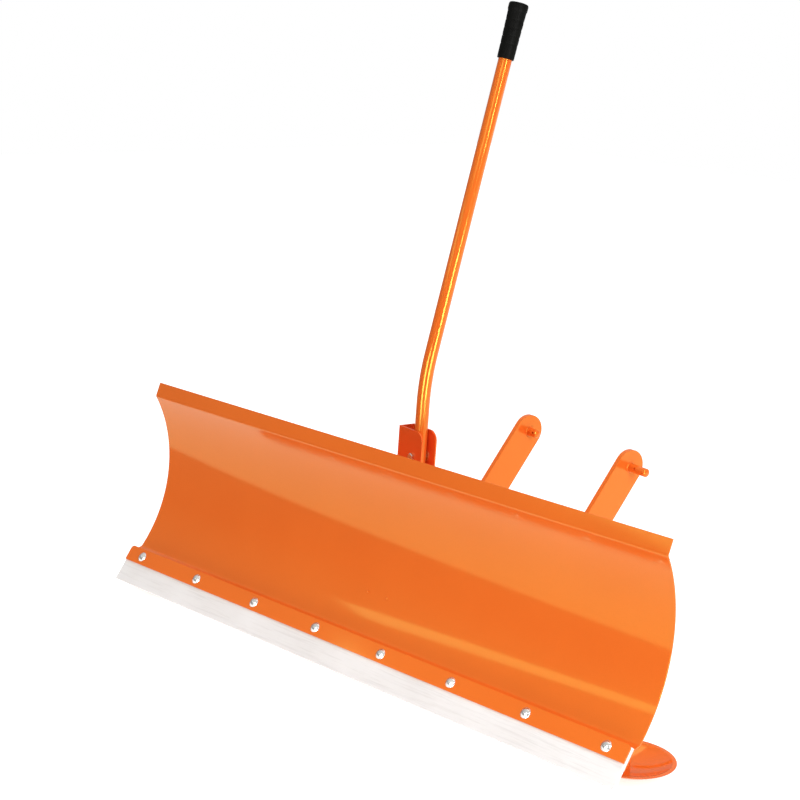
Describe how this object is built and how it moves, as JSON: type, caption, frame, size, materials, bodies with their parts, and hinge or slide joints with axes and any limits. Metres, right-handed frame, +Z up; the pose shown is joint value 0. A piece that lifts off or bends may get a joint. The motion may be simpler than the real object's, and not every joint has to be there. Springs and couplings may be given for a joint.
{
  "type": "plow blade",
  "caption": "Curved front plow blade with a bolted scraper edge, an angling push frame with two pinned arms, a reach-up latch lever and dished skid shoes.",
  "frame": {"origin": "on the floor, at the middle of the bounding box's base", "axes": "+X along the blade to its right end as seen by someone facing its hollow side from the front, +Y to the rear towards the machine, +Z up"},
  "size_m": [1.274, 0.6244, 1.1886],
  "materials": {
    "orange_paint": "glossy orange powder coat",
    "white_bar": "satin white paint",
    "zinc": "bright zinc plating",
    "bronze": "sintered bronze",
    "spring_steel": "oiled spring steel",
    "black_rubber": "smooth black rubber"
  },
  "bodies": {
    "push_frame": {"frame_top_plate": "orange_paint", "frame_bottom_plate": "orange_paint", "cross_tube": "orange_paint", "arm_left": "orange_paint", "arm_right": "orange_paint", "hitch_pin_left": "orange_paint", "hitch_pin_right": "orange_paint", "thrust_washers": "zinc", "king_pin": "zinc", "king_pin_washer": "zinc", "king_pin_cotter": "zinc", "latch_guide": "orange_paint", "upper_guide": "orange_paint", "lever_bracket": "orange_paint", "lever_pivot_bolt": "zinc", "lever_pivot_washers": "zinc", "lever_pivot_nut": "zinc"},
    "blade": {"moldboard": "orange_paint", "scraper_bar": "white_bar", "clamp_strip": "orange_paint", "clamp_bolts": "zinc", "clamp_washers": "zinc", "clamp_nuts": "zinc", "end_rib_left": "orange_paint", "end_rib_right": "orange_paint", "centre_rib_left": "orange_paint", "centre_rib_right": "orange_paint", "back_channel_left": "orange_paint", "back_channel_right": "orange_paint", "tongue_plates": "orange_paint", "tongue_webs": "orange_paint", "pivot_hub": "orange_paint", "hub_bushing": "bronze", "index_plate": "orange_paint", "skid_bolts": "zinc", "skid_washers": "zinc", "skid_nuts": "zinc"},
    "left_skid": {"skid_dish_left": "orange_paint", "skid_strap_left": "orange_paint"},
    "right_skid": {"skid_dish_right": "orange_paint", "skid_strap_right": "orange_paint"},
    "lever": {"lever_tube": "orange_paint", "lever_crank": "orange_paint", "lever_grip": "black_rubber"},
    "latch": {"latch_pin": "zinc", "latch_collar": "zinc", "latch_cross_pin": "zinc", "latch_spring": "spring_steel"}
  },
  "joints": [
    {"name": "blade_swing", "type": "hinge", "parent": "push_frame", "child": "blade", "pos_m": [0, -0.12418, 0.137], "axis": [0, 0, 1], "range_deg": [-40, 20]},
    {"name": "lever_swing", "type": "hinge", "parent": "push_frame", "child": "lever", "pos_m": [0, -0.12418, 0.385], "axis": [0.1736, 0.9848, 0], "range_deg": [0, 12], "stiffness_Nm_per_rad": 12, "springref_deg": -9.74},
    {"name": "latch_lift", "type": "slide", "parent": "push_frame", "child": "latch", "axis": [0, 0, 1], "range_m": [0, 0.0138], "deforming": ["latch_spring"]},
    {"name": "left_skid_height", "type": "slide", "parent": "blade", "child": "left_skid", "axis": [0, 0, 1], "range_m": [0, 0.018]},
    {"name": "right_skid_height", "type": "slide", "parent": "blade", "child": "right_skid", "axis": [0, 0, 1], "range_m": [0, 0.018]}
  ],
  "couplings": [
    {"joint": "latch_lift", "follows": "lever_swing", "m_per_rad": 0.0655}
  ]
}
